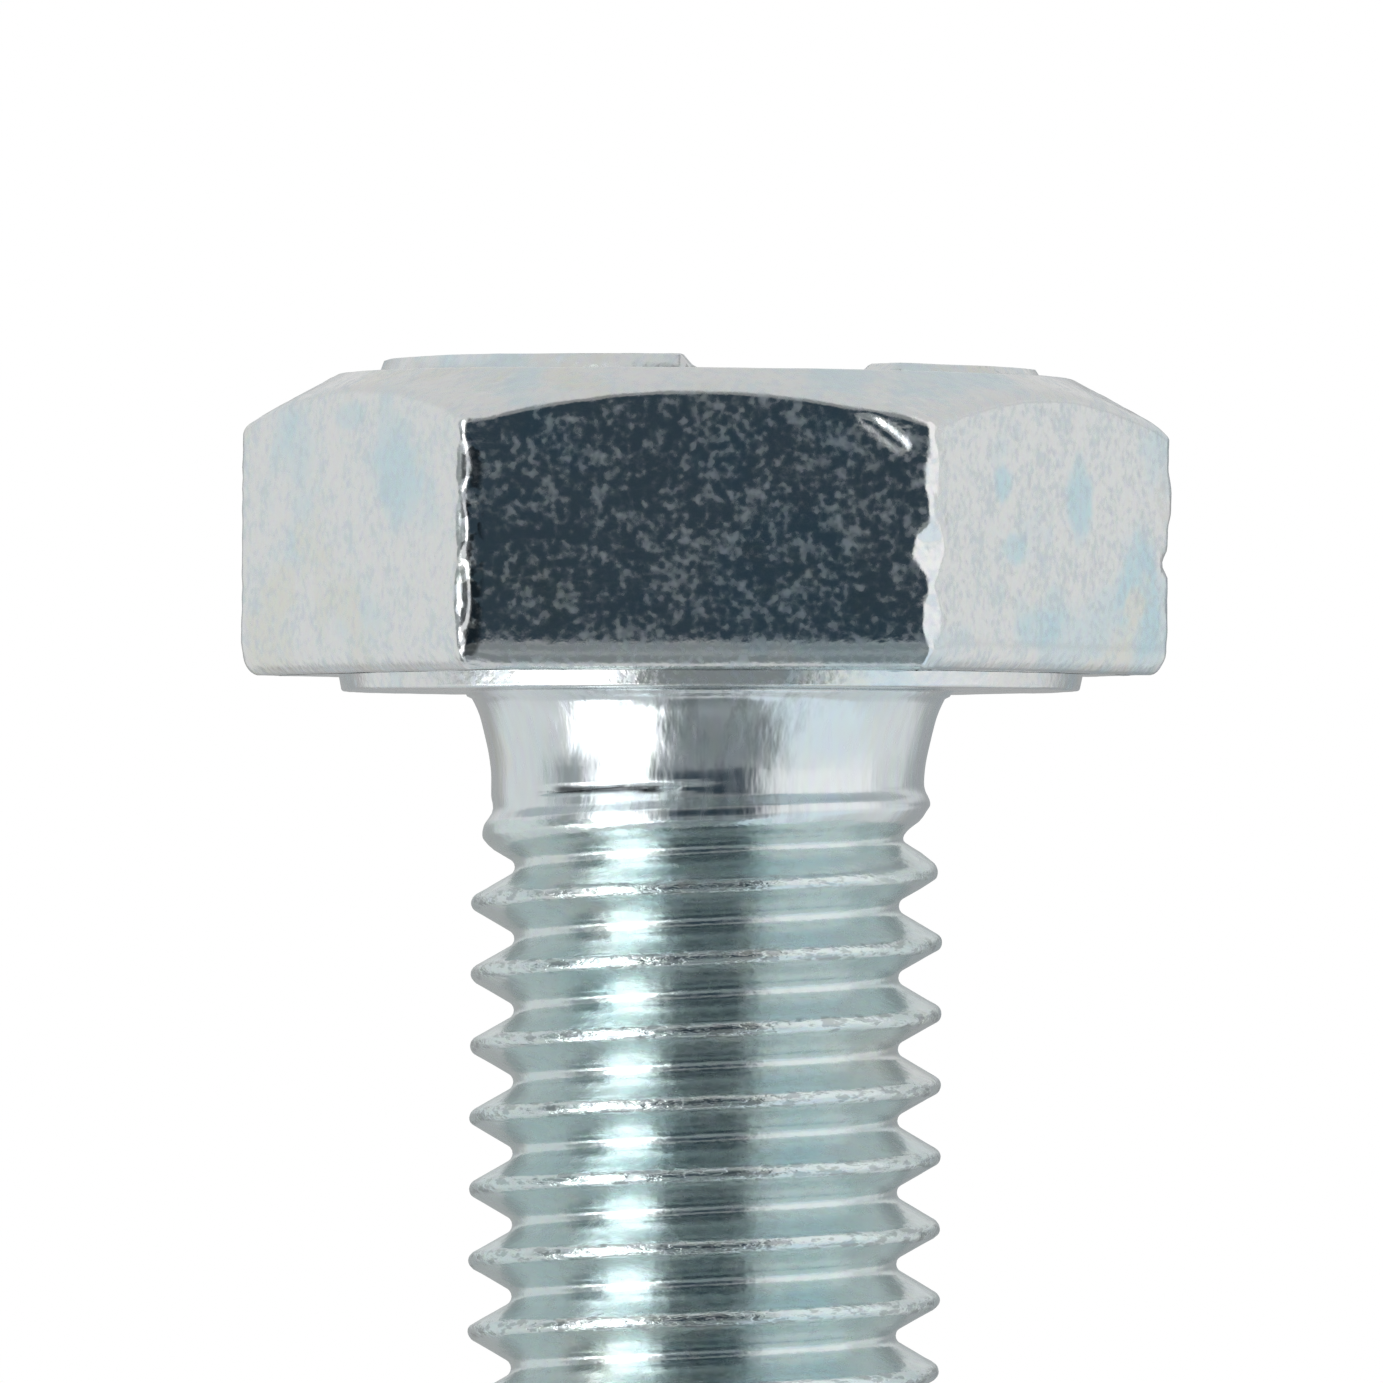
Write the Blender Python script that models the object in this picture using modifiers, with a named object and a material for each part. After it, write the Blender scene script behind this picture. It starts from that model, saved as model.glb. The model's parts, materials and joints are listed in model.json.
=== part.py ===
"""Hexagon head screw, M10 x 1.5, threaded up to the head and cold forged in one piece.

Metres, +Z up. The origin is on the axis, in the bearing face under the head: the head stands above
it and the shank hangs below. Two of the six spanner flats face -Y and +Y.
"""
import math

import bmesh
import bpy
from mathutils import Matrix

# Head
ACROSS_FLATS = 0.0169             # spanner size 17, as made
HEAD_HEIGHT = 0.00655             # bearing face to flat top
CORNER_RADIUS = 0.0005            # the six upright corners
LOWER_EDGE_RADIUS = 0.0004        # lower edge of the hexagon
TOP_CIRCLE_INSET = 0.00085        # edge of the flat top, in from the flats
CHAMFER_ANGLE = math.radians(28.0)
WASHER_FACE_INSET = 0.00065       # edge of the washer face, in from the flats
WASHER_FACE_HEIGHT = 0.00033
WASHER_EDGE_CHAMFER = 0.0001

# Raised marks on the flat top: plain bars bent round the axis
MARK_HEIGHT = 0.0003
MARK_WIDTH = 0.0012
MARK_INSET = 0.0007               # in from the edge of the flat top
MARK_SPANS = ((180.0, 267.0), (305.0, 356.0))   # start and end, in degrees from +X

# Shank
LENGTH = 0.030                    # bearing face to tip
THREAD_DIAMETER = 0.00986         # over the crests
PITCH = 0.0015
THREAD_HEIGHT_AT_X = -0.00073     # height of one crest where it passes +X
NECK_LENGTH = 0.0019              # plain stretch under the head
NECK_FLARE = 0.00056              # how much the neck's radius grows up to the bearing face
RUNOUT_LENGTH = 0.0016            # from the plain neck to the full thread
TIP_INSET = 0.00028               # edge of the flat end face, in from the thread's roots
TIP_ANGLE = math.radians(45.0)

# Rules of a rolled metric thread
CREST_RADIUS = THREAD_DIAMETER / 2
THREAD_DEPTH = 0.6 * PITCH
CREST_FLAT = PITCH / 8
FLANK_ANGLE = math.radians(30.0)
ROOT_FLAT = PITCH - CREST_FLAT - 2 * THREAD_DEPTH * math.tan(FLANK_ANGLE)
BLANK_RADIUS = CREST_RADIUS - PITCH / 4   # the bar that the thread is rolled on

# How finely round shapes are cut into flats
TURNED_STEPS = 72
THREAD_STEPS = 32                 # for each turn
ROUND_SEGMENTS = 3

FLATS_TO_Y = Matrix.Rotation(math.radians(30.0), 4, "Z")   # turns a pair of flats square to Y

# How far joined shapes reach into each other
OVERLAP = 0.0012
WELD = 1e-7

ZINC_PLATE_COLOUR = (0.62, 0.66, 0.68, 1.0)


def clear_scene():
    for item in list(bpy.data.objects):
        bpy.data.objects.remove(item, do_unlink=True)


def new_collection(name):
    collection = bpy.data.collections.new(name)
    bpy.context.scene.collection.children.link(collection)
    return collection


def new_object(name, bm, collection):
    """Put a finished bmesh into an object of its own."""
    mesh = bpy.data.meshes.new(name)
    bm.to_mesh(mesh)
    bm.free()
    item = bpy.data.objects.new(name, mesh)
    collection.objects.link(item)
    return item


def zinc_plated_steel():
    material = bpy.data.materials.new("zinc_plated_steel")
    material.use_nodes = True
    shader = material.node_tree.nodes["Principled BSDF"]
    shader.inputs["Base Color"].default_value = ZINC_PLATE_COLOUR
    shader.inputs["Roughness"].default_value = 0.32
    shader.inputs["Metallic"].default_value = 1.0
    return material


def hexagon(name, collection):
    """Forged hexagon from the washer face to the top, with round corners and a round lower edge."""
    depth = HEAD_HEIGHT - WASHER_FACE_HEIGHT
    corner = ACROSS_FLATS / math.sqrt(3.0)
    place = Matrix.Translation((0.0, 0.0, WASHER_FACE_HEIGHT + depth / 2)) @ FLATS_TO_Y
    bm = bmesh.new()
    bmesh.ops.create_cone(bm, cap_ends=True, segments=6, radius1=corner, radius2=corner,
                          depth=depth, matrix=place)
    upright = [edge for edge in bm.edges if abs(edge.verts[0].co.z - edge.verts[1].co.z) > depth / 2]
    bmesh.ops.bevel(bm, geom=upright, offset=CORNER_RADIUS * math.tan(math.pi / 6),
                    offset_type="OFFSET", affect="EDGES", segments=ROUND_SEGMENTS, profile=0.5,
                    material=-1)
    middle = WASHER_FACE_HEIGHT + depth / 2
    lower = [edge for edge in bm.edges if all(vert.co.z < middle for vert in edge.verts)]
    bmesh.ops.bevel(bm, geom=lower, offset=LOWER_EDGE_RADIUS, offset_type="OFFSET", affect="EDGES",
                    segments=ROUND_SEGMENTS, profile=0.5, material=-1)
    return new_object(name, bm, collection)


def turned(name, profile, collection):
    """Solid of revolution: the profile's radius and height pairs run from top to bottom."""
    bm = bmesh.new()
    points = [bm.verts.new((radius, 0.0, height)) for radius, height in profile]
    for upper, below in zip(points, points[1:]):
        bm.edges.new((upper, below))
    item = new_object(name, bm, collection)
    screw = item.modifiers.new("Turn", "SCREW")
    screw.axis = "Z"
    screw.steps = TURNED_STEPS
    screw.render_steps = TURNED_STEPS
    screw.use_merge_vertices = True
    screw.merge_threshold = WELD
    return item


def chamfer_envelope(name, collection):
    """What the top chamfer leaves: a flat circle, a cone, and room for the corners below."""
    flat = ACROSS_FLATS / 2 - TOP_CIRCLE_INSET
    wide = ACROSS_FLATS / math.sqrt(3.0) + OVERLAP
    drop = (wide - flat) * math.tan(CHAMFER_ANGLE)
    profile = ((0.0, HEAD_HEIGHT), (flat, HEAD_HEIGHT), (wide, HEAD_HEIGHT - drop),
               (wide, -OVERLAP), (0.0, -OVERLAP))
    return turned(name, profile, collection)


def washer_face(name, collection):
    """Round pad under the hexagon that the screw seats on."""
    edge = ACROSS_FLATS / 2 - WASHER_FACE_INSET
    top = WASHER_FACE_HEIGHT + OVERLAP
    profile = ((0.0, top), (edge, top), (edge, WASHER_EDGE_CHAMFER),
               (edge - WASHER_EDGE_CHAMFER, 0.0), (0.0, 0.0))
    return turned(name, profile, collection)


def raised_mark(name, start, end, collection):
    """One plain raised bar on the flat top, bent round the axis."""
    outer = ACROSS_FLATS / 2 - TOP_CIRCLE_INSET - MARK_INSET
    inner = outer - MARK_WIDTH
    low = HEAD_HEIGHT - OVERLAP
    high = HEAD_HEIGHT + MARK_HEIGHT
    bm = bmesh.new()
    corners = ((inner, low), (outer, low), (outer, high), (inner, high))
    section = bm.faces.new([bm.verts.new((radius, 0.0, height)) for radius, height in corners])
    bmesh.ops.rotate(bm, verts=bm.verts, matrix=Matrix.Rotation(math.radians(start), 3, "Z"))
    sweep = math.radians(end - start)
    steps = round(TURNED_STEPS * (end - start) / 360.0)
    bmesh.ops.spin(bm, geom=[section, *section.edges, *section.verts], cent=(0.0, 0.0, 0.0),
                   axis=(0.0, 0.0, 1.0), angle=sweep, steps=steps)
    bmesh.ops.holes_fill(bm, edges=[edge for edge in bm.edges if edge.is_boundary])
    bmesh.ops.recalc_face_normals(bm, faces=bm.faces)
    return new_object(name, bm, collection)


def thread_radius(offset):
    """Radius of the full thread at an axial distance from the middle of a crest."""
    depth = (abs(offset) - CREST_FLAT / 2) / math.tan(FLANK_ANGLE)
    return CREST_RADIUS - min(max(depth, 0.0), THREAD_DEPTH)


def neck_radius(height):
    """Radius of the plain neck: the rolling blank, flared along an arc up to the bearing face."""
    arc = (NECK_LENGTH ** 2 + NECK_FLARE ** 2) / (2 * NECK_FLARE)
    climb = min(max(height + NECK_LENGTH, 0.0), NECK_LENGTH)
    return BLANK_RADIUS + arc - math.sqrt(arc ** 2 - climb ** 2)


def shank_radius(full, height):
    """Neck, run-out, full thread and tip chamfer, from the full thread's radius at that place."""
    share = min(max((-height - NECK_LENGTH) / RUNOUT_LENGTH, 0.0), 1.0)
    share = share * share * (3.0 - 2.0 * share)
    neck = neck_radius(height)
    end_face = CREST_RADIUS - THREAD_DEPTH - TIP_INSET
    tip = end_face + (height + LENGTH) * math.tan(TIP_ANGLE)
    return min(neck + share * (full - neck), tip)


def threaded_shank(name, collection):
    """Neck and right-hand thread as one closed body that reaches up into the head."""
    turns_below = math.ceil((LENGTH + THREAD_HEIGHT_AT_X) / PITCH) + 1
    turns = turns_below + math.ceil(OVERLAP / PITCH) + 2
    lowest = THREAD_HEIGHT_AT_X - turns_below * PITCH
    root = (PITCH - ROOT_FLAT) / 2
    offsets = (-PITCH / 2, -root, -CREST_FLAT / 2, CREST_FLAT / 2, root, PITCH / 2)
    bm = bmesh.new()
    points = [bm.verts.new((thread_radius(offset), 0.0, lowest + offset)) for offset in offsets]
    edges = [bm.edges.new(pair) for pair in zip(points, points[1:])]
    bmesh.ops.spin(bm, geom=[*points, *edges], cent=(0.0, 0.0, 0.0), axis=(0.0, 0.0, 1.0),
                   dvec=(0.0, 0.0, PITCH / THREAD_STEPS), angle=turns * 2 * math.pi,
                   steps=turns * THREAD_STEPS)
    bmesh.ops.remove_doubles(bm, verts=bm.verts, dist=WELD)
    for vert in bm.verts:
        full = math.hypot(vert.co.x, vert.co.y)
        factor = shank_radius(full, vert.co.z) / full
        vert.co.x *= factor
        vert.co.y *= factor
    for height, outward in ((OVERLAP, 1.0), (-LENGTH, -1.0)):
        bmesh.ops.bisect_plane(bm, geom=[*bm.verts, *bm.edges, *bm.faces], dist=WELD,
                               plane_co=(0.0, 0.0, height), plane_no=(0.0, 0.0, outward),
                               clear_outer=True)
        bmesh.ops.holes_fill(bm, edges=[edge for edge in bm.edges if edge.is_boundary
                                        and all(abs(vert.co.z - height) < WELD for vert in edge.verts)])
    bmesh.ops.recalc_face_normals(bm, faces=bm.faces)
    return new_object(name, bm, collection)


def combine(target, tool, operation):
    """Cut or join with an exact Boolean; the tool stays as a hidden guide."""
    tool.hide_render = True
    tool.display_type = "WIRE"
    boolean = target.modifiers.new(tool.name, "BOOLEAN")
    boolean.operation = operation
    boolean.solver = "EXACT"
    boolean.object = tool


def finish(item, material):
    """Apply the Booleans, give the material, and shade the round faces smooth."""
    bpy.context.view_layer.update()
    evaluated = item.evaluated_get(bpy.context.evaluated_depsgraph_get())
    mesh = bpy.data.meshes.new_from_object(evaluated)
    item.modifiers.clear()
    item.data = mesh
    mesh.materials.clear()
    mesh.materials.append(material)
    mesh.shade_smooth()
    mesh.set_sharp_from_angle(angle=math.radians(35.0))


def build():
    clear_scene()
    parts = new_collection("hex_bolt")
    guides = new_collection("cutters")
    bolt = hexagon("hex_bolt", parts)
    combine(bolt, chamfer_envelope("chamfer_envelope", guides), "INTERSECT")
    combine(bolt, washer_face("washer_face", guides), "UNION")
    combine(bolt, threaded_shank("threaded_shank", guides), "UNION")
    for number, (start, end) in enumerate(MARK_SPANS, start=1):
        combine(bolt, raised_mark(f"raised_mark_{number}", start, end, guides), "UNION")
    finish(bolt, zinc_plated_steel())


build()
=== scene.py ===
import json
import math

import bmesh
import bpy
from mathutils import Matrix, Vector, noise


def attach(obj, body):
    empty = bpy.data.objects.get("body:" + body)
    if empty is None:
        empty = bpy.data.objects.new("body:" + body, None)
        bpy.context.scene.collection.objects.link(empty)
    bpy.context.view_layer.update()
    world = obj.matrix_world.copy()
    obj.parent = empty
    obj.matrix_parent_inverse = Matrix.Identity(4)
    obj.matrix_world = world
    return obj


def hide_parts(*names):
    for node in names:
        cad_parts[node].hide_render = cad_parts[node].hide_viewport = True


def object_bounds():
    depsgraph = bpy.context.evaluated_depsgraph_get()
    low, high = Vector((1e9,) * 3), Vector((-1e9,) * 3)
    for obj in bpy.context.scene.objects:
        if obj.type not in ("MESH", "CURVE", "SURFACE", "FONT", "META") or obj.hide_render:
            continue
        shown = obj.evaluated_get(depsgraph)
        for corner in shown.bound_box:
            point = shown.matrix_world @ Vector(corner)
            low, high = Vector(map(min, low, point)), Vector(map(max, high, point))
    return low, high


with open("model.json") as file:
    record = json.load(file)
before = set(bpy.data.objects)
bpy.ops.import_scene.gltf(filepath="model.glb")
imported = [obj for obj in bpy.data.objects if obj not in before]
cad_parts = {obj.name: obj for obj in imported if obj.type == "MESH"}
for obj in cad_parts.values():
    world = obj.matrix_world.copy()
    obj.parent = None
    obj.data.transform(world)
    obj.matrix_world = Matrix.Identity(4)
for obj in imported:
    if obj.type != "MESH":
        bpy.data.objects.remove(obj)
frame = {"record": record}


# ---------------------------------------------------------------------------------------------
# The bolt. One steel blank: its hexagon head and washer face are forged cold, its thread is rolled
# between flat dies, and the whole is barrel plated with bright zinc and passivated pale blue.

MM = 0.001

scene = bpy.context.scene

# The flats, the head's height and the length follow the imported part.
cad_low, cad_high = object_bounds()
mounts = {mount["name"]: mount for mount in frame["record"]["mounts"]}
flat_reach = cad_high.y                                # axis to a spanner flat
head_top = mounts["head_top"]["pos_m"][2] + 0.04 * MM   # as struck
tip_height = cad_low.z

CORNER_ROUND = 0.27 * MM
LEAST_ROUND = 0.02 * MM                                # what an inset leaves of it
WIDEST = 10.0 * MM                                     # rings reach past the corners, then are cut
LOWER_INSET = 0.4 * MM                                 # lower edge of the hexagon, rounded
LOWER_RISE = 0.7 * MM
TOP_CIRCLE = flat_reach - 0.77 * MM
TOP_ROUND = 0.3 * MM
CHAMFER = math.radians(28.5)
EDGE_BLEND = 0.36 * MM                                 # chamfer into flat
TOP_CENTRE = 5.2 * MM                                  # few rings inside, many under the marks
TOP_MARKED = 7.4 * MM
PAD_RADIUS = flat_reach - 0.65 * MM                    # washer face
PAD_HEIGHT = 0.33 * MM
PAD_ROUND = 0.07 * MM
PAD_DRAFT = 0.05 * MM                                  # its edge leans in towards the seat
HEX_SHIFT = -0.1 * MM                                  # the hexagon was struck a little off centre
PAD_SHIFT = 0.045 * MM
SEAT_LEAN = math.radians(0.45)                         # and the seat a little out of square
LEAN_FADE = 0.8 * MM                                   # which fades out this far below it
SEAT_FILLET = 0.16 * MM
NECK_RADIUS = 4.54 * MM
NECK_SLOPE = 0.3
NECK_BEND = 0.7 * MM                                   # from straight into the slope
NECK_FLARE = 0.12 * MM
FLARE_START = 0.65 * MM
NECK_END = -1.9 * MM
JOIN_HEIGHT = -1.6 * MM                                # head and shank are bridged in the neck,
JOIN_GAP = 0.05 * MM                                   # across this gap
HEAD_COLUMNS = 336
CORNER_PULL = 0.1                                      # columns crowd at the corners


def ease(value):
    """Smooth step from 0 to 1."""
    value = min(max(value, 0.0), 1.0)
    return value * value * (3.0 - 2.0 * value)


def hexagon_reach(angle, inset):
    """Axis to the side of the hexagon with round corners, less a square inset."""
    reach = flat_reach - inset
    round_off = max(CORNER_ROUND - inset, LEAST_ROUND)
    from_corner = math.radians(abs((math.degrees(angle) + 30.0) % 60.0 - 30.0))
    half_side = math.pi / 6
    straight = (reach - round_off) * math.tan(half_side)
    if from_corner > half_side - math.atan2(straight, reach):
        return reach / math.cos(half_side - from_corner)
    centre = (reach - round_off) / math.cos(half_side)
    across = centre * math.sin(from_corner)
    return centre * math.cos(from_corner) + math.sqrt(round_off ** 2 - across ** 2)


def soft_least(first, second, width):
    """The smaller of two sizes, rounded where they cross."""
    near = max(width - abs(first - second), 0.0) / width
    return min(first, second) - near * near * width / 4


def neck_reach(height):
    """Plain neck that widens evenly upwards and flares at the bearing face."""
    climb = min(max(height - NECK_END, 0.0), -NECK_END)
    flare = max(climb + NECK_END + FLARE_START, 0.0) / FLARE_START
    slope = math.hypot(climb, NECK_BEND) - NECK_BEND
    return NECK_RADIUS + NECK_SLOPE * slope + NECK_FLARE * flare ** 2


# Rings of the head from the middle of its top, down and in to the neck. A ring holds a radius, a
# height, how far it is pressed to the hexagon, its share of the pad's shift, and the hexagon's inset.

def ring(radius, height, press=1.0, shift=0.0, inset=0.0):
    return {"radius": radius, "height": height, "press": press, "shift": shift, "inset": inset}


def spread(count):
    """Even steps from 0, leaving out 1."""
    return [step / count for step in range(count)]


def head_rings():
    """Every ring of the head in order, with more of them where the shape turns."""
    rings = [ring(share * TOP_CENTRE, head_top) for share in spread(5)]
    rings += [ring(TOP_CENTRE + share * (TOP_MARKED - TOP_CENTRE), head_top) for share in spread(24)]
    lean = TOP_ROUND * math.tan(CHAMFER / 2)
    for share in spread(5):
        turn = share * CHAMFER
        rings.append(ring(TOP_CIRCLE - lean + TOP_ROUND * math.sin(turn),
                          head_top - TOP_ROUND * (1.0 - math.cos(turn))))
    start = TOP_CIRCLE + lean * math.cos(CHAMFER)
    for share in spread(30):
        reach = start + share * (WIDEST - start)
        rings.append(ring(reach, head_top - (reach - TOP_CIRCLE) * math.tan(CHAMFER)))
    upper = head_top - (WIDEST - TOP_CIRCLE) * math.tan(CHAMFER)
    lower = PAD_HEIGHT + LOWER_RISE
    rings += [ring(WIDEST, upper + share * (lower - upper)) for share in spread(38)]
    for share in spread(10):
        turn = share * math.pi / 2
        rings.append(ring(WIDEST, lower - LOWER_RISE * math.sin(turn),
                          inset=LOWER_INSET * (1.0 - math.cos(turn))))
    for share in spread(6):
        rings.append(ring(PAD_RADIUS, PAD_HEIGHT, press=1.0 - share, shift=share, inset=LOWER_INSET))
    for share in spread(4):
        rings.append(ring(PAD_RADIUS - share * PAD_DRAFT,
                          PAD_HEIGHT - share * (PAD_HEIGHT - PAD_ROUND), press=0.0, shift=1.0))
    for share in spread(5):
        turn = share * math.pi / 2
        rings.append(ring(PAD_RADIUS - PAD_DRAFT - PAD_ROUND * (1.0 - math.cos(turn)),
                          PAD_ROUND * (1.0 - math.sin(turn)), press=0.0, shift=1.0))
    edge = PAD_RADIUS - PAD_DRAFT - PAD_ROUND
    foot = neck_reach(0.0) + SEAT_FILLET
    for share in spread(8):
        rings.append(ring(edge + share * (foot - edge), 0.0, press=0.0, shift=1.0 - share))
    for share in spread(5):
        turn = share * math.pi / 2
        rings.append(ring(foot - SEAT_FILLET * math.sin(turn),
                          -SEAT_FILLET * (1.0 - math.cos(turn)), press=0.0))
    start = -SEAT_FILLET
    for share in [*spread(12), 1.0]:
        height = start + share * (JOIN_HEIGHT - start)
        rings.append(ring(neck_reach(height), height, press=0.0))
    return rings


def head_point(row, angle):
    """Where a point of a ring lies, with the columns drawn together at the hexagon's corners."""
    angle -= CORNER_PULL * math.sin(6.0 * angle)
    reach = row["radius"]
    if row["press"] == 1.0 and row["shift"] == 0.0:
        reach = soft_least(reach, hexagon_reach(angle, row["inset"]), EDGE_BLEND)
    elif row["press"] > 0.0:
        reach += row["press"] * (hexagon_reach(angle, row["inset"]) - reach)
    shift = row["press"] * HEX_SHIFT + row["shift"] * PAD_SHIFT
    across = reach * math.cos(angle) + shift
    leaning = ease((row["height"] + LEAN_FADE) / LEAN_FADE) * ease(1.0 - row["height"] / head_top)
    return Vector((across, reach * math.sin(angle),
                   row["height"] + across * math.tan(SEAT_LEAN) * leaning))


def make_head():
    """Spin a tube with one row for each ring, then draw every row out to its ring."""
    rings = head_rings()
    bm = bmesh.new()
    line = [bm.verts.new((1.0, 0.0, -float(number))) for number in range(len(rings))]
    edges = [bm.edges.new(pair) for pair in zip(line, line[1:])]
    bmesh.ops.spin(bm, geom=[*line, *edges], cent=(0.0, 0.0, 0.0), axis=(0.0, 0.0, 1.0),
                   angle=2 * math.pi, steps=HEAD_COLUMNS, use_merge=True)
    for vert in bm.verts:
        vert.co = head_point(rings[round(-vert.co.z)], math.atan2(vert.co.y, vert.co.x))
    bmesh.ops.remove_doubles(bm, verts=bm.verts, dist=0.0001 * MM)
    return bm


# The thread: one pitch of its outline is spun down the shank, then the full form is faded in below
# the neck and cut to a chamfer at the tip.

CREST_RADIUS = 4.94 * MM
PITCH = 1.5 * MM
CREST_AT_X = -0.73 * MM                                # height of a crest on the bolt's right
CREST_ROUND = 0.19 * MM
ROOT_ROUND = 0.2 * MM
TIP_FACE = 3.75 * MM
TIP_RING = 0.15 * MM                                   # plain rim, then the hollow of the sheared end
TIP_HOLLOW = ((0.6 * MM, 0.1 * MM), (1.2 * MM, 0.12 * MM))
THREAD_STEPS = 100
WELD = 0.005 * MM

# The dies leave a first low ridge and then the full form: its share of the thread's height, where it
# starts, and how far it takes to come in.
FIRST_RIDGE = (0.38, NECK_END, 0.5 * MM)
FULL_RIDGE = (0.62, -2.6 * MM, 2.0 * MM)
FULL_GROOVE = (1.0, -2.2 * MM, 1.1 * MM)

# The line where the end of a die nicked the neck's front left, with its angles in degrees.
NICK_HEIGHT = -2.12 * MM
NICK_WANDER = 0.05 * MM
NICK_DEPTH = 0.1 * MM
NICK_WIDTH = 0.07 * MM
NICK_ANGLE = -117.0
NICK_HALF = 34.0
NICK_FADE = 1.8                                        # above 1, it is full depth in the middle part


def run_in(height, share, start, length):
    """How much of the rolled form is there, from none at the start to its share further down."""
    return share * ease((start - height) / length)


def thread_outline():
    """Radius and height of one pitch, from root to root: round crest, straight flanks, round roots."""
    flank = math.radians(60.0)
    root_radius = CREST_RADIUS + CREST_ROUND + ROOT_ROUND - PITCH * math.sin(flank)
    crest = [(CREST_RADIUS - CREST_ROUND * (1.0 - math.cos(turn * flank)),
              CREST_ROUND * math.sin(turn * flank)) for turn in (0.0, 0.25, 0.5, 0.75, 1.0)]
    root = [(root_radius + ROOT_ROUND * (1.0 - math.cos(turn * flank)),
             PITCH / 2 - ROOT_ROUND * math.sin(turn * flank)) for turn in (1.0, 0.7, 0.35, 0.0)]
    (top_radius, top_height), (low_radius, low_height) = crest[-1], root[0]
    between = [(top_radius + share * (low_radius - top_radius),
                top_height + share * (low_height - top_height)) for share in (0.25, 0.5, 0.75)]
    half = crest + between + root
    return [(radius, -height) for radius, height in reversed(half[1:])] + half


def shank_reach(full, angle, height):
    """Neck, run-out, full thread and tip chamfer, from the full thread's radius at that place."""
    neck = neck_reach(height)
    if full > neck:
        share = run_in(height, *FIRST_RIDGE) + run_in(height, *FULL_RIDGE)
    else:
        share = run_in(height, *FULL_GROOVE)
    beside = abs(math.degrees(angle) - NICK_ANGLE) / NICK_HALF
    below = height - NICK_HEIGHT - NICK_WANDER * math.sin(3.0 * angle)
    nick = NICK_DEPTH * ease(NICK_FADE * (1.0 - beside)) * math.exp(-(below / NICK_WIDTH) ** 2)
    tip = TIP_FACE + (height - tip_height)
    return min(neck + share * (full - neck) - nick, tip)


def make_shank():
    """Spin the outline of the whole length once round while it climbs one pitch, and close the seam."""
    outline = thread_outline()
    turns = math.ceil(-tip_height / PITCH) + 3
    lowest = CREST_AT_X - (turns - 2) * PITCH
    bm = bmesh.new()
    line = [bm.verts.new((radius, 0.0, lowest + turn * PITCH + height))
            for turn in range(turns) for radius, height in outline[1:]]
    edges = [bm.edges.new(pair) for pair in zip(line, line[1:])]
    bmesh.ops.spin(bm, geom=[*line, *edges], cent=(0.0, 0.0, 0.0), axis=(0.0, 0.0, 1.0),
                   dvec=(0.0, 0.0, PITCH / THREAD_STEPS), angle=2 * math.pi, steps=THREAD_STEPS)
    bmesh.ops.remove_doubles(bm, verts=bm.verts, dist=WELD)
    for vert in bm.verts:
        full = math.hypot(vert.co.x, vert.co.y)
        angle = math.atan2(vert.co.y, vert.co.x)
        factor = shank_reach(full, angle, vert.co.z) / full
        vert.co.x *= factor
        vert.co.y *= factor
    for height, outward in ((JOIN_HEIGHT - JOIN_GAP, 1.0), (tip_height, -1.0)):
        bmesh.ops.bisect_plane(bm, geom=[*bm.verts, *bm.edges, *bm.faces], dist=0.001 * MM,
                               plane_co=(0.0, 0.0, height), plane_no=(0.0, 0.0, outward),
                               clear_outer=True)
    end = [edge for edge in bm.edges if edge.is_boundary and edge.verts[0].co.z < tip_height / 2]
    disc = bmesh.ops.holes_fill(bm, edges=end)["faces"]
    for width, sink in ((TIP_RING, 0.0), *TIP_HOLLOW):
        bmesh.ops.inset_region(bm, faces=disc, thickness=width, depth=0.0)
        for vert in disc[0].verts:
            vert.co.z += sink
    return bm


# Small faults of forging and handling: where each starts and ends, its reach and its depth, all in
# millimetres. A depth below zero is metal pushed out.

DENTS = (
    ((3.42, -8.45, 5.5), (4.1, -8.45, 4.98), 0.25, 0.09),       # slip beside the chamfer
    ((3.9, -8.3, 5.8), (4.6, -8.2, 5.3), 0.35, -0.06),
    ((9.55, 0.0, 2.75), (9.55, 0.0, 2.75), 0.35, 0.14),         # notch in the right corner
    ((9.6, 0.0, 4.0), (9.6, 0.0, 4.2), 0.6, -0.06),             # metal pushed out above it
    ((-4.98, -8.4, 1.3), (-4.98, -8.4, 2.3), 0.24, 0.06),
    ((-4.98, -8.4, 3.0), (-4.98, -8.4, 3.5), 0.2, 0.06),
    ((-4.98, -8.4, 4.2), (-4.98, -8.4, 4.8), 0.24, 0.06),
    ((4.8, -8.4, 1.2), (4.8, -8.4, 1.7), 0.25, 0.05),
    ((4.8, -8.4, 4.1), (4.8, -8.4, 4.5), 0.22, 0.06),
    ((-7.4, -4.3, 5.6), (-7.2, -4.4, 5.5), 0.5, 0.04),
    ((-3.0, 8.4, 3.2), (-2.2, 8.4, 3.5), 0.3, 0.04),
    ((7.3, 4.4, 2.0), (7.3, 4.4, 2.4), 0.4, 0.05),
)


# Knocks that flattened a corner: the corner's angle, then height, half length and depth in millimetres.
BRUISES = ((-60.0, 2.85, 0.7, 0.18), (-60.0, 1.3, 0.5, 0.05), (120.0, 3.4, 0.7, 0.14))
BRUISE_ROUGH = 0.5                                     # share of its depth
BRUISE_GRAIN = 0.25 * MM


def stroke_distance(place, start, end):
    """How far a point is from a short straight stroke."""
    start, end = Vector(start) * MM, Vector(end) * MM
    along = end - start
    share = (place - start).dot(along) / max(along.length_squared, 1e-12)
    return (place - start - along * min(max(share, 0.0), 1.0)).length


# Raised bars on the top: start and end angles, and heights in millimetres.
MARKS = ((180.0, 267.0, 0.3), (305.0, 356.0, 0.18))
MARK_INNER = 5.7 * MM
MARK_OUTER = 6.9 * MM
MARK_EDGE = 0.14 * MM


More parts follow.
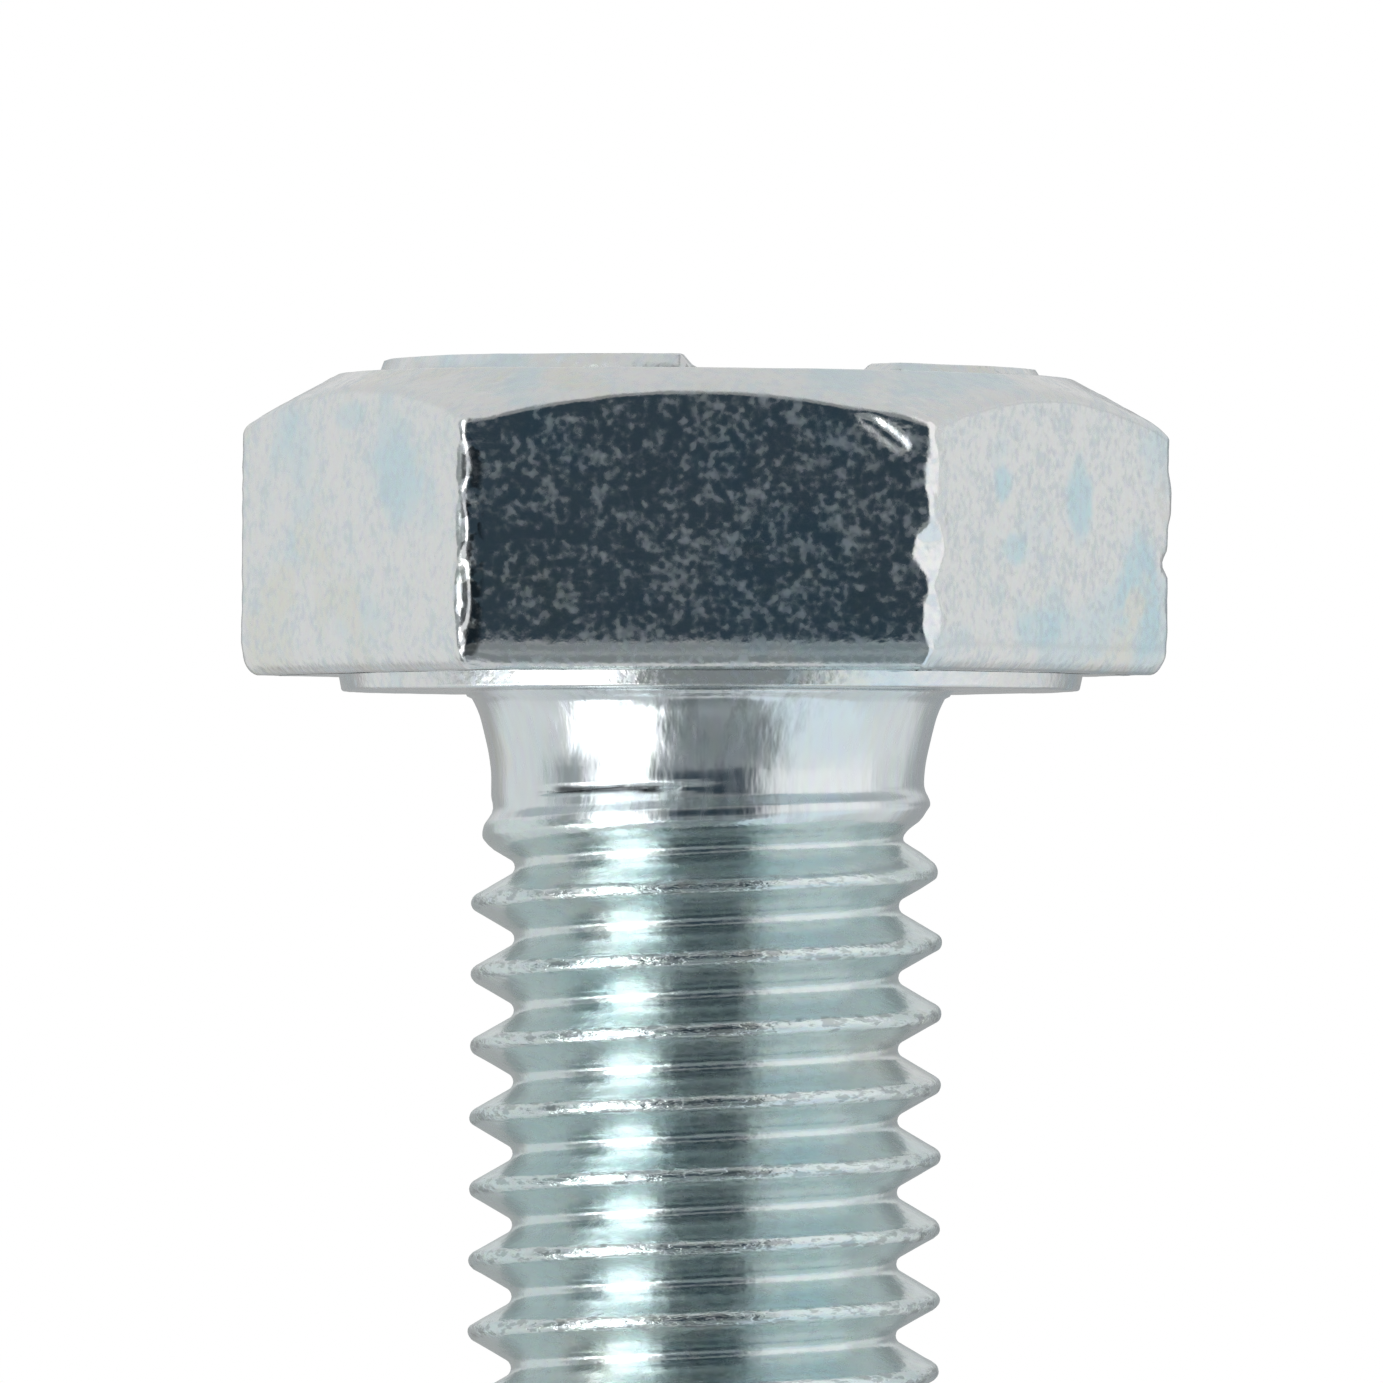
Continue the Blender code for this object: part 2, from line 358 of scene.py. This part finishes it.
def mark_height(place):
    """How much a point on the flat top is raised by the two plain bars."""
    reach = math.hypot(place.x, place.y)
    angle = math.degrees(math.atan2(place.y, place.x)) % 360.0
    across = min(reach - MARK_INNER, MARK_OUTER - reach) / MARK_EDGE
    rise = 0.0
    for start, end, height in MARKS:
        along = math.radians(min(angle - start, end - angle)) * reach / MARK_EDGE
        rise = max(rise, height * MM * ease(across + 0.5) * ease(along / 2 + 0.5))
    return rise


# Waves in the skin, each a height and a length: the whole bolt's two, the head's ripple, torn crests,
# battered corners at the front and elsewhere, and the edge of the chamfer.
BROAD_WAVE = (0.012 * MM, 2.6 * MM)
SHORT_WAVE = (0.006 * MM, 0.9 * MM)
RIPPLE = (0.005 * MM, 0.42 * MM)
TORN_CREST = (0.022 * MM, 0.33 * MM)
FRONT_CORNER = (0.06 * MM, 0.3 * MM)
OTHER_CORNER = (0.02 * MM, 0.3 * MM)
CHAMFER_EDGE = (0.014 * MM, 0.26 * MM)
ROLLED_CALM = 0.3                                      # rolling smooths the waves on the thread
TORN_FROM = CREST_RADIUS - 0.39 * MM
TORN_WIDTH = 0.3 * MM
SIDES_FROM = flat_reach - 0.5 * MM
CORNER_HALF = 3.0                                      # degrees to each side of a corner
FRONT_LIMIT = -6.0 * MM
EDGE_HALF = 0.4 * MM


def waves(place, height, length):
    return height * noise.noise(place / length)


def unevenness(place):
    """Height of the forged or rolled skin over the true shape, from waves of several lengths."""
    wave = waves(place, *BROAD_WAVE) + waves(place, *SHORT_WAVE)
    reach = math.hypot(place.x, place.y)
    if place.z < NECK_END:
        return ROLLED_CALM * wave + ease((reach - TORN_FROM) / TORN_WIDTH) * waves(place, *TORN_CREST)
    wave += waves(place, *RIPPLE)
    if place.z > PAD_HEIGHT and reach > SIDES_FROM:
        from_corner = abs((math.degrees(math.atan2(place.y, place.x)) + 30.0) % 60.0 - 30.0)
        battered = FRONT_CORNER if place.y < FRONT_LIMIT else OTHER_CORNER
        wave += max(0.0, 1.0 - from_corner / CORNER_HALF) * waves(place, *battered)
        edge = head_top - (reach - TOP_CIRCLE) * math.tan(CHAMFER)
        wave += ease(1.0 - abs(place.z - edge) / EDGE_HALF) * waves(place, *CHAMFER_EDGE)
    return wave


def knocked_back(place):
    """How far the bruises push a point of a corner inwards."""
    push = Vector()
    for degrees, height, half, depth in BRUISES:
        angle = math.radians(degrees)
        outward = Vector((math.cos(angle), math.sin(angle), 0.0))
        low = depth * MM * ease(1.0 - abs(place.z / MM - height) / half)
        low *= 1.0 + waves(place, BRUISE_ROUGH, BRUISE_GRAIN)
        over = (place - Vector((HEX_SHIFT, 0.0, 0.0))).dot(outward) - hexagon_reach(angle, 0.0) + low
        if low > 0.0 and over > 0.0:
            push -= outward * over
    return push


def age_surface(bm):
    """Move every point by the unevenness, the marks, the dents and the bruises, all at once."""
    bm.normal_update()
    moves = []
    for vert in bm.verts:
        place = vert.co.copy()
        move = vert.normal * unevenness(place)
        if place.z > head_top - 0.01 * MM:
            move.z += mark_height(place)
        for start, end, radius, depth in DENTS:
            near = stroke_distance(place, start, end) / (radius * MM)
            if near < 1.0:
                move -= vert.normal * depth * MM * ease(1.0 - near)
        if place.z > PAD_HEIGHT:
            move += knocked_back(place)
        moves.append(move)
    for vert, move in zip(bm.verts, moves):
        vert.co += move


# The forged skin ends at the bearing face, and the rolled skin starts on the thread's first flank.
SKIN_LIMITS = (-0.05 * MM, -2.75 * MM)


def make_bolt():
    """Head and shank in one mesh, bridged round the neck."""
    bm = make_head()
    shank = make_shank()
    thread = bpy.data.meshes.new("shank")
    shank.to_mesh(thread)
    shank.free()
    bm.from_mesh(thread)
    bpy.data.meshes.remove(thread)
    bmesh.ops.bridge_loops(bm, edges=[edge for edge in bm.edges if edge.is_boundary])
    bmesh.ops.recalc_face_normals(bm, faces=bm.faces)
    age_surface(bm)
    for face in bm.faces:
        height = face.calc_center_median().z
        face.material_index = sum(height <= limit for limit in SKIN_LIMITS)
    mesh = bpy.data.meshes.new("zinc_plated_bolt")
    bm.to_mesh(mesh)
    bm.free()
    mesh.shade_smooth()
    mesh.set_sharp_from_angle(angle=math.radians(50.0))
    bolt = bpy.data.objects.new("zinc_plated_bolt", mesh)
    scene.collection.objects.link(bolt)
    return bolt


def add_node(tree, kind, **settings):
    """A shader node with its settings: the values of its sockets go by their names too."""
    node = tree.nodes.new(kind)
    for name, value in settings.items():
        if name in node.inputs:
            node.inputs[name].default_value = value
        else:
            setattr(node, name, value)
    return node


def worked_out(tree, operation, *values, clamp=False):
    """One step of arithmetic on values, each a socket or a plain number."""
    node = add_node(tree, "ShaderNodeMath", operation=operation, use_clamp=clamp)
    for socket, value in zip(node.inputs, values):
        if isinstance(value, float):
            socket.default_value = value
        else:
            tree.links.new(value, socket)
    return node.outputs[0]


def product(tree, result, *factors):
    """Several values multiplied together."""
    for factor in factors:
        result = worked_out(tree, "MULTIPLY", result, factor)
    return result


def ramp_between(tree, source, low, high):
    """0 at low, 1 at high, smooth between and level beyond."""
    node = add_node(tree, "ShaderNodeMapRange", interpolation_type="SMOOTHSTEP")
    tree.links.new(source, node.inputs["Value"])
    node.inputs["From Min"].default_value = low
    node.inputs["From Max"].default_value = high
    return node.outputs["Result"]


def stretched_to(tree, source, low, high):
    """A value from 0 to 1 made to run from low to high."""
    node = add_node(tree, "ShaderNodeMapRange")
    tree.links.new(source, node.inputs["Value"])
    node.inputs["To Min"].default_value = low
    node.inputs["To Max"].default_value = high
    return node.outputs["Result"]


def within(tree, source, low, high, soft):
    """1 between two limits and 0 outside them, with soft edges."""
    return product(tree, ramp_between(tree, source, low - soft, low + soft),
                   ramp_between(tree, source, high + soft, high - soft))


def moved(tree, place, operation, vector):
    """A place with a plain vector added, taken away or multiplied in."""
    node = add_node(tree, "ShaderNodeVectorMath", operation=operation)
    node.inputs[1].default_value = vector
    tree.links.new(place, node.inputs[0])
    return node.outputs[0]


def length_of(tree, place):
    node = add_node(tree, "ShaderNodeVectorMath", operation="LENGTH")
    tree.links.new(place, node.inputs[0])
    return node.outputs["Value"]


def axis_reach(tree, place):
    """How far a place is from the bolt's axis."""
    return length_of(tree, moved(tree, place, "MULTIPLY", (1.0, 1.0, 0.0)))


def axes_of(tree, place):
    """The X, Y and Z of a place."""
    node = add_node(tree, "ShaderNodeSeparateXYZ")
    tree.links.new(place, node.inputs[0])
    return node.outputs


def cloud_at(tree, place, scale, detail, roughness):
    """Cloudy noise; a scale is a number or a socket."""
    node = add_node(tree, "ShaderNodeTexNoise", Detail=detail, Roughness=roughness)
    tree.links.new(place, node.inputs["Vector"])
    if isinstance(scale, float):
        node.inputs["Scale"].default_value = scale
    else:
        tree.links.new(scale, node.inputs["Scale"])
    return node.outputs


def blend_colour(tree, share, first, second, way="MIX"):
    """Blend two colours, each a socket or a plain colour, by a share."""
    node = add_node(tree, "ShaderNodeMix", data_type="RGBA", blend_type=way)
    tree.links.new(share, node.inputs[0])
    for socket, value in ((node.inputs[6], first), (node.inputs[7], second)):
        if isinstance(value, tuple):
            socket.default_value = (*value, 1.0)
        else:
            tree.links.new(value, socket)
    return node.outputs[2]


def new_group(name, inputs, outputs):
    """An empty node group with its sockets, each a name and a type."""
    tree = bpy.data.node_groups.new(name, "ShaderNodeTree")
    for in_out, sockets in (("INPUT", inputs), ("OUTPUT", outputs)):
        for socket, kind in sockets:
            tree.interface.new_socket(socket, in_out=in_out, socket_type="NodeSocket" + kind)
    return tree, tree.nodes.new("NodeGroupInput").outputs, tree.nodes.new("NodeGroupOutput").inputs


# The passivation. A cloud's value past these limits turns the zinc blue or straw.
BLUE_LIMITS = (0.50, 0.60)
BLUE_MOST = 0.5
STRAW_LIMITS = (0.56, 0.66)
STRAW_ASIDE = (0.013, 0.027, 0.041)                    # a part of the cloud away from the blue's
RAGGED_SCALE = 1500.0
RAGGED_LIMITS = (1.6, 1.0)                             # outside and inside of a stain's edge

# Stains that stand out: place, reach across and up, all in millimetres, and strength.
STAINS = (
    ((-8.5, -2.2, 5.0), 0.8, 0.9, 0.4), ((-6.3, -5.9, 4.4), 1.4, 1.0, 0.3),
    ((-7.3, -4.2, 5.6), 0.8, 0.35, 0.5), ((-7.0, -4.6, 1.4), 1.2, 0.7, 0.4),
    ((6.2, -6.0, 4.3), 0.45, 0.5, 0.9), ((7.8, -3.3, 4.0), 0.6, 1.0, 0.9),
    ((6.5, -5.6, 2.9), 0.6, 0.4, 0.7), ((9.0, -1.1, 2.0), 1.0, 1.6, 1.0),
    ((7.0, -4.6, 1.3), 1.2, 0.5, 0.5), ((-8.5, 2.4, 3.2), 1.1, 1.4, 0.7),
    ((-1.5, 8.4, 2.2), 1.6, 1.0, 0.7), ((6.4, 5.6, 3.7), 1.2, 1.2, 0.7),
)


def patchy_zinc():
    """Node group: the tone of passivated zinc, grey with pale blue and straw patches."""
    tree, given, result = new_group(
        "patchy_zinc",
        (("Place", "Vector"), ("Patch Scale", "Float"), ("Base", "Color"), ("Blue", "Color"),
         ("Straw", "Color")),
        (("Tone", "Color"),))
    patches = cloud_at(tree, given["Place"], given["Patch Scale"], 5.0, 0.55)["Fac"]
    blue = product(tree, ramp_between(tree, patches, *BLUE_LIMITS), BLUE_MOST)
    wander = cloud_at(tree, given["Place"], RAGGED_SCALE, 3.0, 0.6)["Fac"]
    for centre, across, up, strength in STAINS:
        apart = moved(tree, given["Place"], "SUBTRACT", tuple(part * MM for part in centre))
        apart = moved(tree, apart, "MULTIPLY", (1 / (across * MM), 1 / (across * MM), 1 / (up * MM)))
        ragged = worked_out(tree, "ADD", length_of(tree, apart), wander)
        stain = ramp_between(tree, ragged, *RAGGED_LIMITS)
        blue = worked_out(tree, "MULTIPLY_ADD", stain, strength, blue, clamp=True)
    aside = moved(tree, given["Place"], "ADD", STRAW_ASIDE)
    yellowed = cloud_at(tree, aside, given["Patch Scale"], 4.0, 0.55)["Fac"]
    tone = blend_colour(tree, blue, given["Base"], given["Blue"])
    tone = blend_colour(tree, ramp_between(tree, yellowed, *STRAW_LIMITS), tone, given["Straw"])
    tree.links.new(tone, result["Tone"])
    return tree


# The pebbles. Dull blotches come from a cloud a little finer than the grain and from a broader one.
BLOTCH_ASIDE = (0.031, 0.017, 0.023)
BLOTCH_FINER = 1.1
BROAD_SCALE = 1700.0
BROAD_SHARE = 0.7
BLOTCH_LIMITS = (0.68, 1.18)


def pebbled_skin():
    """Node group: the fine pebbles of a plated surface, as a height, and the dull blotches on it."""
    tree, given, result = new_group(
        "pebbled_skin", (("Place", "Vector"), ("Grain Scale", "Float")),
        (("Height", "Float"), ("Blotches", "Float"), ("Tint", "Color")))
    grain = cloud_at(tree, given["Place"], given["Grain Scale"], 2.0, 0.5)
    aside = moved(tree, given["Place"], "ADD", BLOTCH_ASIDE)
    finer = product(tree, given["Grain Scale"], BLOTCH_FINER)
    blotch = cloud_at(tree, aside, finer, 1.0, 0.4)
    broad = cloud_at(tree, aside, BROAD_SCALE, 1.5, 0.5)["Fac"]
    both = worked_out(tree, "MULTIPLY_ADD", broad, BROAD_SHARE, blotch["Fac"])
    tree.links.new(grain["Fac"], result["Height"])
    tree.links.new(ramp_between(tree, both, *BLOTCH_LIMITS), result["Blotches"])
    tree.links.new(blotch["Color"], result["Tint"])
    return tree


# The laps along the crests: the band they lie in, their size, and where a scale stands or gapes.
LAP_BAND = (CREST_RADIUS - 0.16 * MM, CREST_RADIUS - 0.03 * MM)
LAP_SQUASH = (1.0, 1.0, 3.0)
LAP_SCALE = 2300.0
LAP_RAISED = (0.38, 0.58)
LAP_GAPING = (0.50, 0.40)
LAP_HEIGHT = 0.009 * MM


def rolled_laps():
    """Node group: torn scales that thread rolling leaves along the crests, as a mask and a height."""
    tree, given, result = new_group("rolled_laps", (("Place", "Vector"),),
                                    (("Gaps", "Float"), ("Height", "Float")))
    crest = ramp_between(tree, axis_reach(tree, given["Place"]), *LAP_BAND)
    squashed = moved(tree, given["Place"], "MULTIPLY", LAP_SQUASH)
    scales = cloud_at(tree, squashed, LAP_SCALE, 3.0, 0.6)["Fac"]
    tree.links.new(product(tree, ramp_between(tree, scales, *LAP_GAPING), crest), result["Gaps"])
    tree.links.new(product(tree, ramp_between(tree, scales, *LAP_RAISED), crest), result["Height"])
    return tree


# The scuffs: how far out they start, which corners they are on, their size and their limits.
SCUFF_REACH = (flat_reach + 1.10 * MM, flat_reach + 1.18 * MM)
SCUFF_SIDE = (-4.96 * MM, -4.2 * MM, 0.04 * MM)
SCUFF_SCALE = 2800.0
SCUFF_LIMITS = (0.57, 0.49)


def worn_corners():
    """Node group: a mask of the scuffs down the front left corner and the one behind it."""
    tree, given, result = new_group("worn_corners", (("Place", "Vector"),), (("Scuffs", "Float"),))
    corner = ramp_between(tree, axis_reach(tree, given["Place"]), *SCUFF_REACH)
    side = within(tree, axes_of(tree, given["Place"])["X"], *SCUFF_SIDE)
    spots = cloud_at(tree, given["Place"], SCUFF_SCALE, 2.0, 0.5)["Fac"]
    tree.links.new(product(tree, ramp_between(tree, spots, *SCUFF_LIMITS), corner, side),
                   result["Scuffs"])
    return tree


# Streaks down the neck's front, and a line of painted shade along the groove where the die's end nicked
# it.
STREAK_FRONT = (-3.9 * MM, -4.6 * MM)
STREAK_DRAWN = (1.0, 1.0, 0.3)
STREAK_SCALE = 3300.0
STREAK_LIMITS = (0.42, 0.66)
LINE_WANDER = 0.16 * MM
LINE_WAVE_SCALE = 900.0
LINE_HEIGHT = (-2.10 * MM, -1.97 * MM, 0.05 * MM)
LINE_SIDE = (-3.1 * MM, -0.9 * MM, 0.15 * MM)
LINE_FRONT = (0.0, -1.0 * MM)
GROOVE_SHADE_STRENGTH = 3.6


def streaks_and_groove_shade():
    """Node group: upright dark streaks on the neck's front, and a dark line of painted shade in the
    groove of a tool mark.
    """
    tree, given, result = new_group("streaks_and_groove_shade", (("Place", "Vector"),), (("Streaks", "Float"),))
    axes = axes_of(tree, given["Place"])
    drawn = moved(tree, given["Place"], "MULTIPLY", STREAK_DRAWN)
    streaks = cloud_at(tree, drawn, STREAK_SCALE, 3.0, 0.6)["Fac"]
    streaks = product(tree, ramp_between(tree, streaks, *STREAK_LIMITS),
                      ramp_between(tree, axes["Y"], *STREAK_FRONT))
    wavy = cloud_at(tree, given["Place"], LINE_WAVE_SCALE, 2.0, 0.5)["Fac"]
    height = worked_out(tree, "MULTIPLY_ADD", wavy, LINE_WANDER, axes["Z"])
    # painted shade: a dark line along the nick's groove on the front left, added to the streaks
    line = product(tree, within(tree, height, *LINE_HEIGHT), within(tree, axes["X"], *LINE_SIDE),
                   ramp_between(tree, axes["Y"], *LINE_FRONT))
    tree.links.new(worked_out(tree, "MULTIPLY_ADD", line, GROOVE_SHADE_STRENGTH, streaks), result["Streaks"])
    return tree


def placed_group(tree, group, place):
    """A node group set in a material."""
    node = add_node(tree, "ShaderNodeGroup", node_tree=group)
    tree.links.new(place, node.inputs["Place"])
    return node


def bumped(tree, height, distance):
    """A bump of a real height."""
    node = add_node(tree, "ShaderNodeBump", Strength=1.0, Distance=distance)
    tree.links.new(height, node.inputs["Height"])
    return node


PATCH_SCALE = 330.0
TINT_SHARE = (0.2, 0.55)                               # of each pebble's own tint, clean to blotched
COOL_SHARE = 0.5                                       # how far a blotch goes to the blue
# the dark of the scuffs, streaks and gaping laps, and of the painted shade in the neck's groove
FAULT_AND_SHADE_COLOUR = (0.05, 0.055, 0.06)

tone_group = patchy_zinc()
skin_group = pebbled_skin()


def plate_material(name, base, blue, straw, grain, bump, stretch, rough, dull, faults_and_shade, depth):
    """Bright zinc over steel: patchy tone, pebbled skin, uneven gloss, and the faults of its part,
    which on the neck include painted shade in the nick's groove.
    """
    material = bpy.data.materials.new(name)
    material.use_nodes = True
    tree = material.node_tree
    shader = tree.nodes["Principled BSDF"]
    shader.inputs["Metallic"].default_value = 1.0
    place = add_node(tree, "ShaderNodeTexCoord").outputs["Object"]
    tone = placed_group(tree, tone_group, place)
    tone.inputs["Patch Scale"].default_value = PATCH_SCALE
    tone.inputs["Base"].default_value = (*base, 1.0)
    tone.inputs["Blue"].default_value = (*blue, 1.0)
    tone.inputs["Straw"].default_value = (*straw, 1.0)
    skin = placed_group(tree, skin_group, moved(tree, place, "MULTIPLY", stretch))
    skin.inputs["Grain Scale"].default_value = grain
    blotches = skin.outputs["Blotches"]
    colour = blend_colour(tree, stretched_to(tree, blotches, *TINT_SHARE), tone.outputs["Tone"],
                          skin.outputs["Tint"], way="SOFT_LIGHT")
    colour = blend_colour(tree, product(tree, blotches, COOL_SHARE), colour, blue)
    fault_and_shade_masks = placed_group(tree, faults_and_shade, place)
    # darken the faults, and on the neck paint shade into the nick's groove
    colour = blend_colour(tree, product(tree, fault_and_shade_masks.outputs[0], depth), colour, FAULT_AND_SHADE_COLOUR)
    relief = bumped(tree, skin.outputs["Height"], bump)
    if "Height" in fault_and_shade_masks.outputs:
        pebbles = relief.outputs["Normal"]
        relief = bumped(tree, fault_and_shade_masks.outputs["Height"], LAP_HEIGHT)
        tree.links.new(pebbles, relief.inputs["Normal"])
    tree.links.new(colour, shader.inputs["Base Color"])
    tree.links.new(stretched_to(tree, blotches, rough, dull), shader.inputs["Roughness"])
    tree.links.new(relief.outputs["Normal"], shader.inputs["Normal"])
    return material


bolt = make_bolt()
bolt.data.materials.append(plate_material(
    "plated_forging", base=(0.72, 0.725, 0.72), blue=(0.53, 0.675, 0.73),
    straw=(0.70, 0.70, 0.655), grain=5600.0, bump=0.009 * MM, stretch=(1.0, 1.0, 1.0),
    rough=0.15, dull=0.37, faults_and_shade=worn_corners(), depth=0.75))
# the neck's faults include painted shade along the nick's groove
bolt.data.materials.append(plate_material(
    "plated_neck", base=(0.67, 0.71, 0.72), blue=(0.60, 0.70, 0.74),
    straw=(0.69, 0.70, 0.68), grain=4200.0, bump=0.010 * MM, stretch=(1.0, 1.0, 0.3),
    rough=0.2, dull=0.3, faults_and_shade=streaks_and_groove_shade(), depth=0.25))
bolt.data.materials.append(plate_material(
    "plated_thread", base=(0.62, 0.695, 0.695), blue=(0.55, 0.675, 0.685),
    straw=(0.65, 0.69, 0.675), grain=3600.0, bump=0.010 * MM, stretch=(1.0, 1.0, 2.4),
    rough=0.2, dull=0.3, faults_and_shade=rolled_laps(), depth=0.35))
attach(bolt, "root")
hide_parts("hex_bolt")


# ---------------------------------------------------------------------------------------------
# The studio. A pale sheet under the bolt, a tall leaning softbox to the front left, a small low one
# further left, and a surround of light panels with a dark gap on the camera's side.

FLOOR_HALF = 0.6
FLOOR_DROP = 0.02 * MM
SHEET_COLOUR = (0.86, 0.86, 0.86, 1.0)
SHEET_ROUGH = 0.7

scene.view_settings.view_transform = "Standard"

floor_bm = bmesh.new()
bmesh.ops.create_grid(floor_bm, x_segments=1, y_segments=1, size=FLOOR_HALF,
                      matrix=Matrix.Translation((0.0, 0.0, tip_height - FLOOR_DROP)))
floor_mesh = bpy.data.meshes.new("floor")
floor_bm.to_mesh(floor_mesh)
floor_bm.free()
floor = bpy.data.objects.new("floor", floor_mesh)
scene.collection.objects.link(floor)
floor.visible_glossy = False
pale = bpy.data.materials.new("pale_sheet")
pale.use_nodes = True
pale.node_tree.nodes["Principled BSDF"].inputs["Base Color"].default_value = SHEET_COLOUR
pale.node_tree.nodes["Principled BSDF"].inputs["Roughness"].default_value = SHEET_ROUGH
floor_mesh.materials.append(pale)

SOFTBOX_DISTANCE = 0.45


def softbox(name, azimuth, elevation, width, height, lean, radiance):
    """White area light facing the bolt; azimuth 0 is the camera's side and 90 is the right."""
    light = bpy.data.lights.new(name, "AREA")
    light.shape = "RECTANGLE"
    light.size = width
    light.size_y = height
    light.energy = radiance * math.pi * width * height
    item = bpy.data.objects.new(name, light)
    turn, lift = math.radians(azimuth), math.radians(elevation)
    away = Vector((math.sin(turn) * math.cos(lift), -math.cos(turn) * math.cos(lift), math.sin(lift)))
    item.location = away * SOFTBOX_DISTANCE
    facing = (-away).to_track_quat("-Z", "Y").to_matrix() @ Matrix.Rotation(lean, 3, "Z")
    item.rotation_euler = facing.to_euler()
    item.visible_camera = False
    scene.collection.objects.link(item)


softbox("key_softbox", azimuth=-45.8, elevation=-2.0, width=0.21, height=0.80,
        lean=math.radians(14.0), radiance=2.1)
softbox("low_softbox", azimuth=-66.0, elevation=-36.0, width=0.16, height=0.28,
        lean=0.0, radiance=2.4)

# What the metal mirrors: azimuth from and to, elevation from and to, softness, all in degrees, and the
# light's colour. Azimuth 0 is the camera's side and 90 the right; later panels cover earlier ones.
PANELS = (
    (-400.0, 400.0, 16.0, 120.0, 10.0, (0.77, 0.77, 0.77)),       # ceiling
    (-400.0, 400.0, -120.0, -34.0, 14.0, (0.74, 0.76, 0.77)),    # table
    (-400.0, -138.0, -30.0, 10.0, 8.0, (0.46, 0.46, 0.46)),      # back of the room
    (138.0, 400.0, -30.0, 10.0, 8.0, (0.46, 0.46, 0.46)),
    (106.0, 400.0, -4.0, 10.0, 8.0, (0.42, 0.43, 0.44)),         # right, behind
    (152.0, 400.0, -120.0, 10.0, 8.0, (0.42, 0.43, 0.44)),
    (109.0, 129.0, -5.0, 9.0, 4.0, (0.90, 0.91, 0.91)),
    (-135.0, -92.0, -30.0, 40.0, 8.0, (0.86, 0.87, 0.87)),       # left
    (-90.0, -65.0, -14.0, 30.0, 5.0, (0.34, 0.37, 0.38)),        # gap beside the softbox
    (37.0, 100.0, -12.0, 60.0, 8.0, (1.16, 1.14, 1.14)),         # right
    (37.0, 92.0, -75.0, -16.0, 8.0, (0.92, 1.01, 1.07)),
    (-26.0, 37.0, -75.0, -13.0, 6.0, (0.25, 0.28, 0.29)),        # under the camera
    (-26.0, 37.0, -44.0, -31.0, 4.0, (0.37, 0.40, 0.41)),
    (-26.0, 26.0, 20.0, 52.0, 8.0, (0.30, 0.31, 0.32)),          # over the camera
    (-26.0, 28.0, -12.0, 24.0, 5.0, (0.030, 0.052, 0.072)),      # the camera's dark side
)
BARE_WALL = (0.90, 0.90, 0.90)                         # between the panels
BACKDROP = (1.0, 1.0, 1.0)


def surround():
    """The room that the metal mirrors; the camera itself sees plain white."""
    world = bpy.data.worlds.new("studio")
    world.use_nodes = True
    scene.world = world
    tree = world.node_tree
    axes = axes_of(tree, add_node(tree, "ShaderNodeTexCoord").outputs["Generated"])
    toward = worked_out(tree, "MULTIPLY", axes["Y"], -1.0)
    azimuth = worked_out(tree, "DEGREES", worked_out(tree, "ARCTAN2", axes["X"], toward))
    elevation = worked_out(tree, "DEGREES", worked_out(tree, "ARCSINE", axes["Z"]))
    light = BARE_WALL
    for left, right, low, high, soft, colour in PANELS:
        share = product(tree, within(tree, azimuth, left, right, soft),
                        within(tree, elevation, low, high, soft))
        light = blend_colour(tree, share, light, colour)
    seen = add_node(tree, "ShaderNodeLightPath").outputs["Is Camera Ray"]
    light = blend_colour(tree, seen, light, BACKDROP)
    tree.links.new(light, tree.nodes["Background"].inputs["Color"])


surround()


# ---------------------------------------------------------------------------------------------
# The camera: a long lens at the height of the third turn, turned slightly to the bolt's right.

EYE_DISTANCE = 480.0 * MM
EYE_HEIGHT = -6.43 * MM
EYE_TURN = math.radians(1.15)
AIM_LEFT = 0.355 * MM
AIM_HEIGHT = -0.01 * MM
ROLL = math.radians(0.45)
VIEW_WIDTH = 29.0 * MM
SENSOR = 36.0

lens = bpy.data.cameras.new("camera")
lens.sensor_width = SENSOR
lens.lens = SENSOR * EYE_DISTANCE / VIEW_WIDTH
lens.clip_start = 0.01
lens.clip_end = 10.0
camera = bpy.data.objects.new("camera", lens)
scene.collection.objects.link(camera)
camera.location = (EYE_DISTANCE * math.sin(EYE_TURN), -EYE_DISTANCE * math.cos(EYE_TURN), EYE_HEIGHT)
aim = Vector((-AIM_LEFT * math.cos(EYE_TURN), -AIM_LEFT * math.sin(EYE_TURN), AIM_HEIGHT))
look = (aim - camera.location).to_track_quat("-Z", "Y")
camera.rotation_euler = (look.to_matrix() @ Matrix.Rotation(ROLL, 3, "Z")).to_euler()
scene.camera = camera

bpy.context.view_layer.update()
